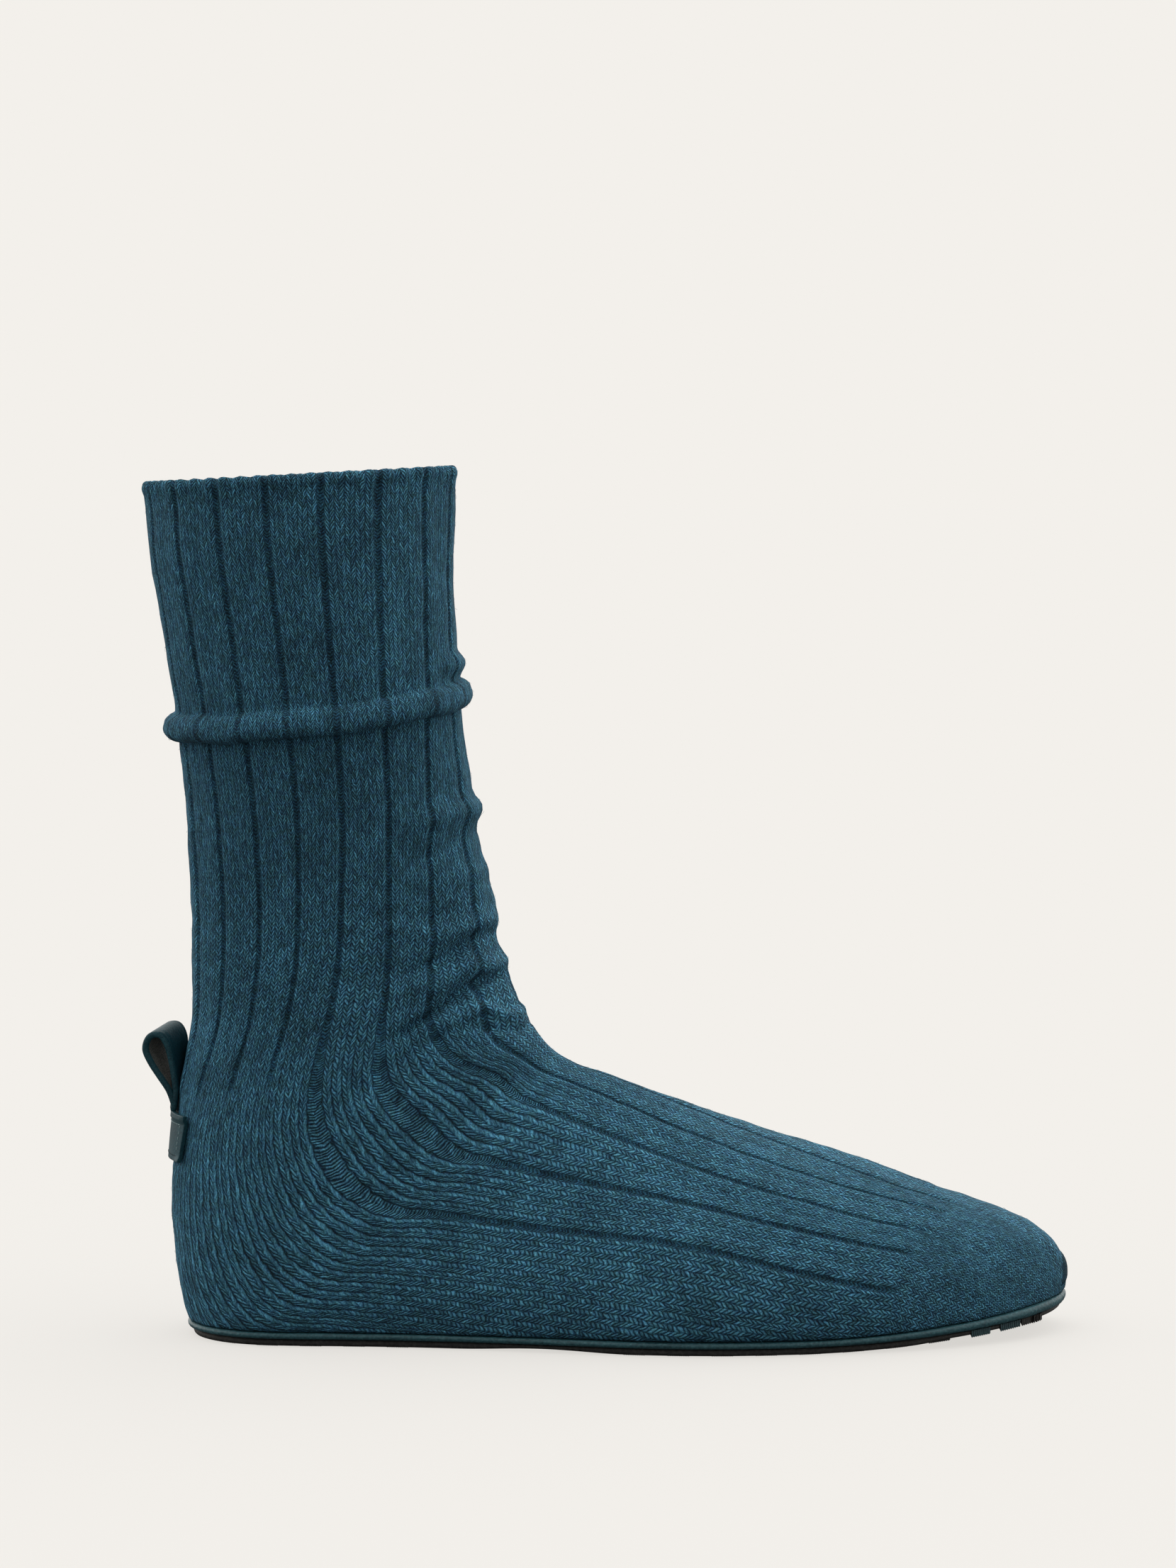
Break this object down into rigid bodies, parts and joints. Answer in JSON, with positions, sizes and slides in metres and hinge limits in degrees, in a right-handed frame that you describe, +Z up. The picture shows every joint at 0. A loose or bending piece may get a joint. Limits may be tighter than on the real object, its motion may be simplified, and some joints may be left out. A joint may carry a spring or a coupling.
{
  "type": "sock shoe",
  "caption": "Right-foot house shoe made as a ribbed knitted ankle sock, open at the cuff, on a thin flat sole with a leather pull loop at the heel.",
  "frame": {"origin": "middle of the shoe's box, on the surface that it stands on", "axes": "+X to the toe, +Y to the inner side of the foot, +Z up"},
  "size_m": [0.2592, 0.0906, 0.2414],
  "materials": {
    "knit": "heathered petrol-blue ribbed knit, fuzzy and matt",
    "footbed": "dark cloth-covered foam",
    "sole_edge": "smooth teal leather sole edge, satin",
    "tread": "dark matt rubber",
    "strap_leather": "smooth teal leather with a satin gloss, suede inside the loop"
  },
  "bodies": {
    "root": {"upper": "knit", "insole": "footbed", "midsole": "sole_edge", "outsole": "tread", "heel_tab": "strap_leather", "pull_loop": "strap_leather"}
  },
  "joints": []
}
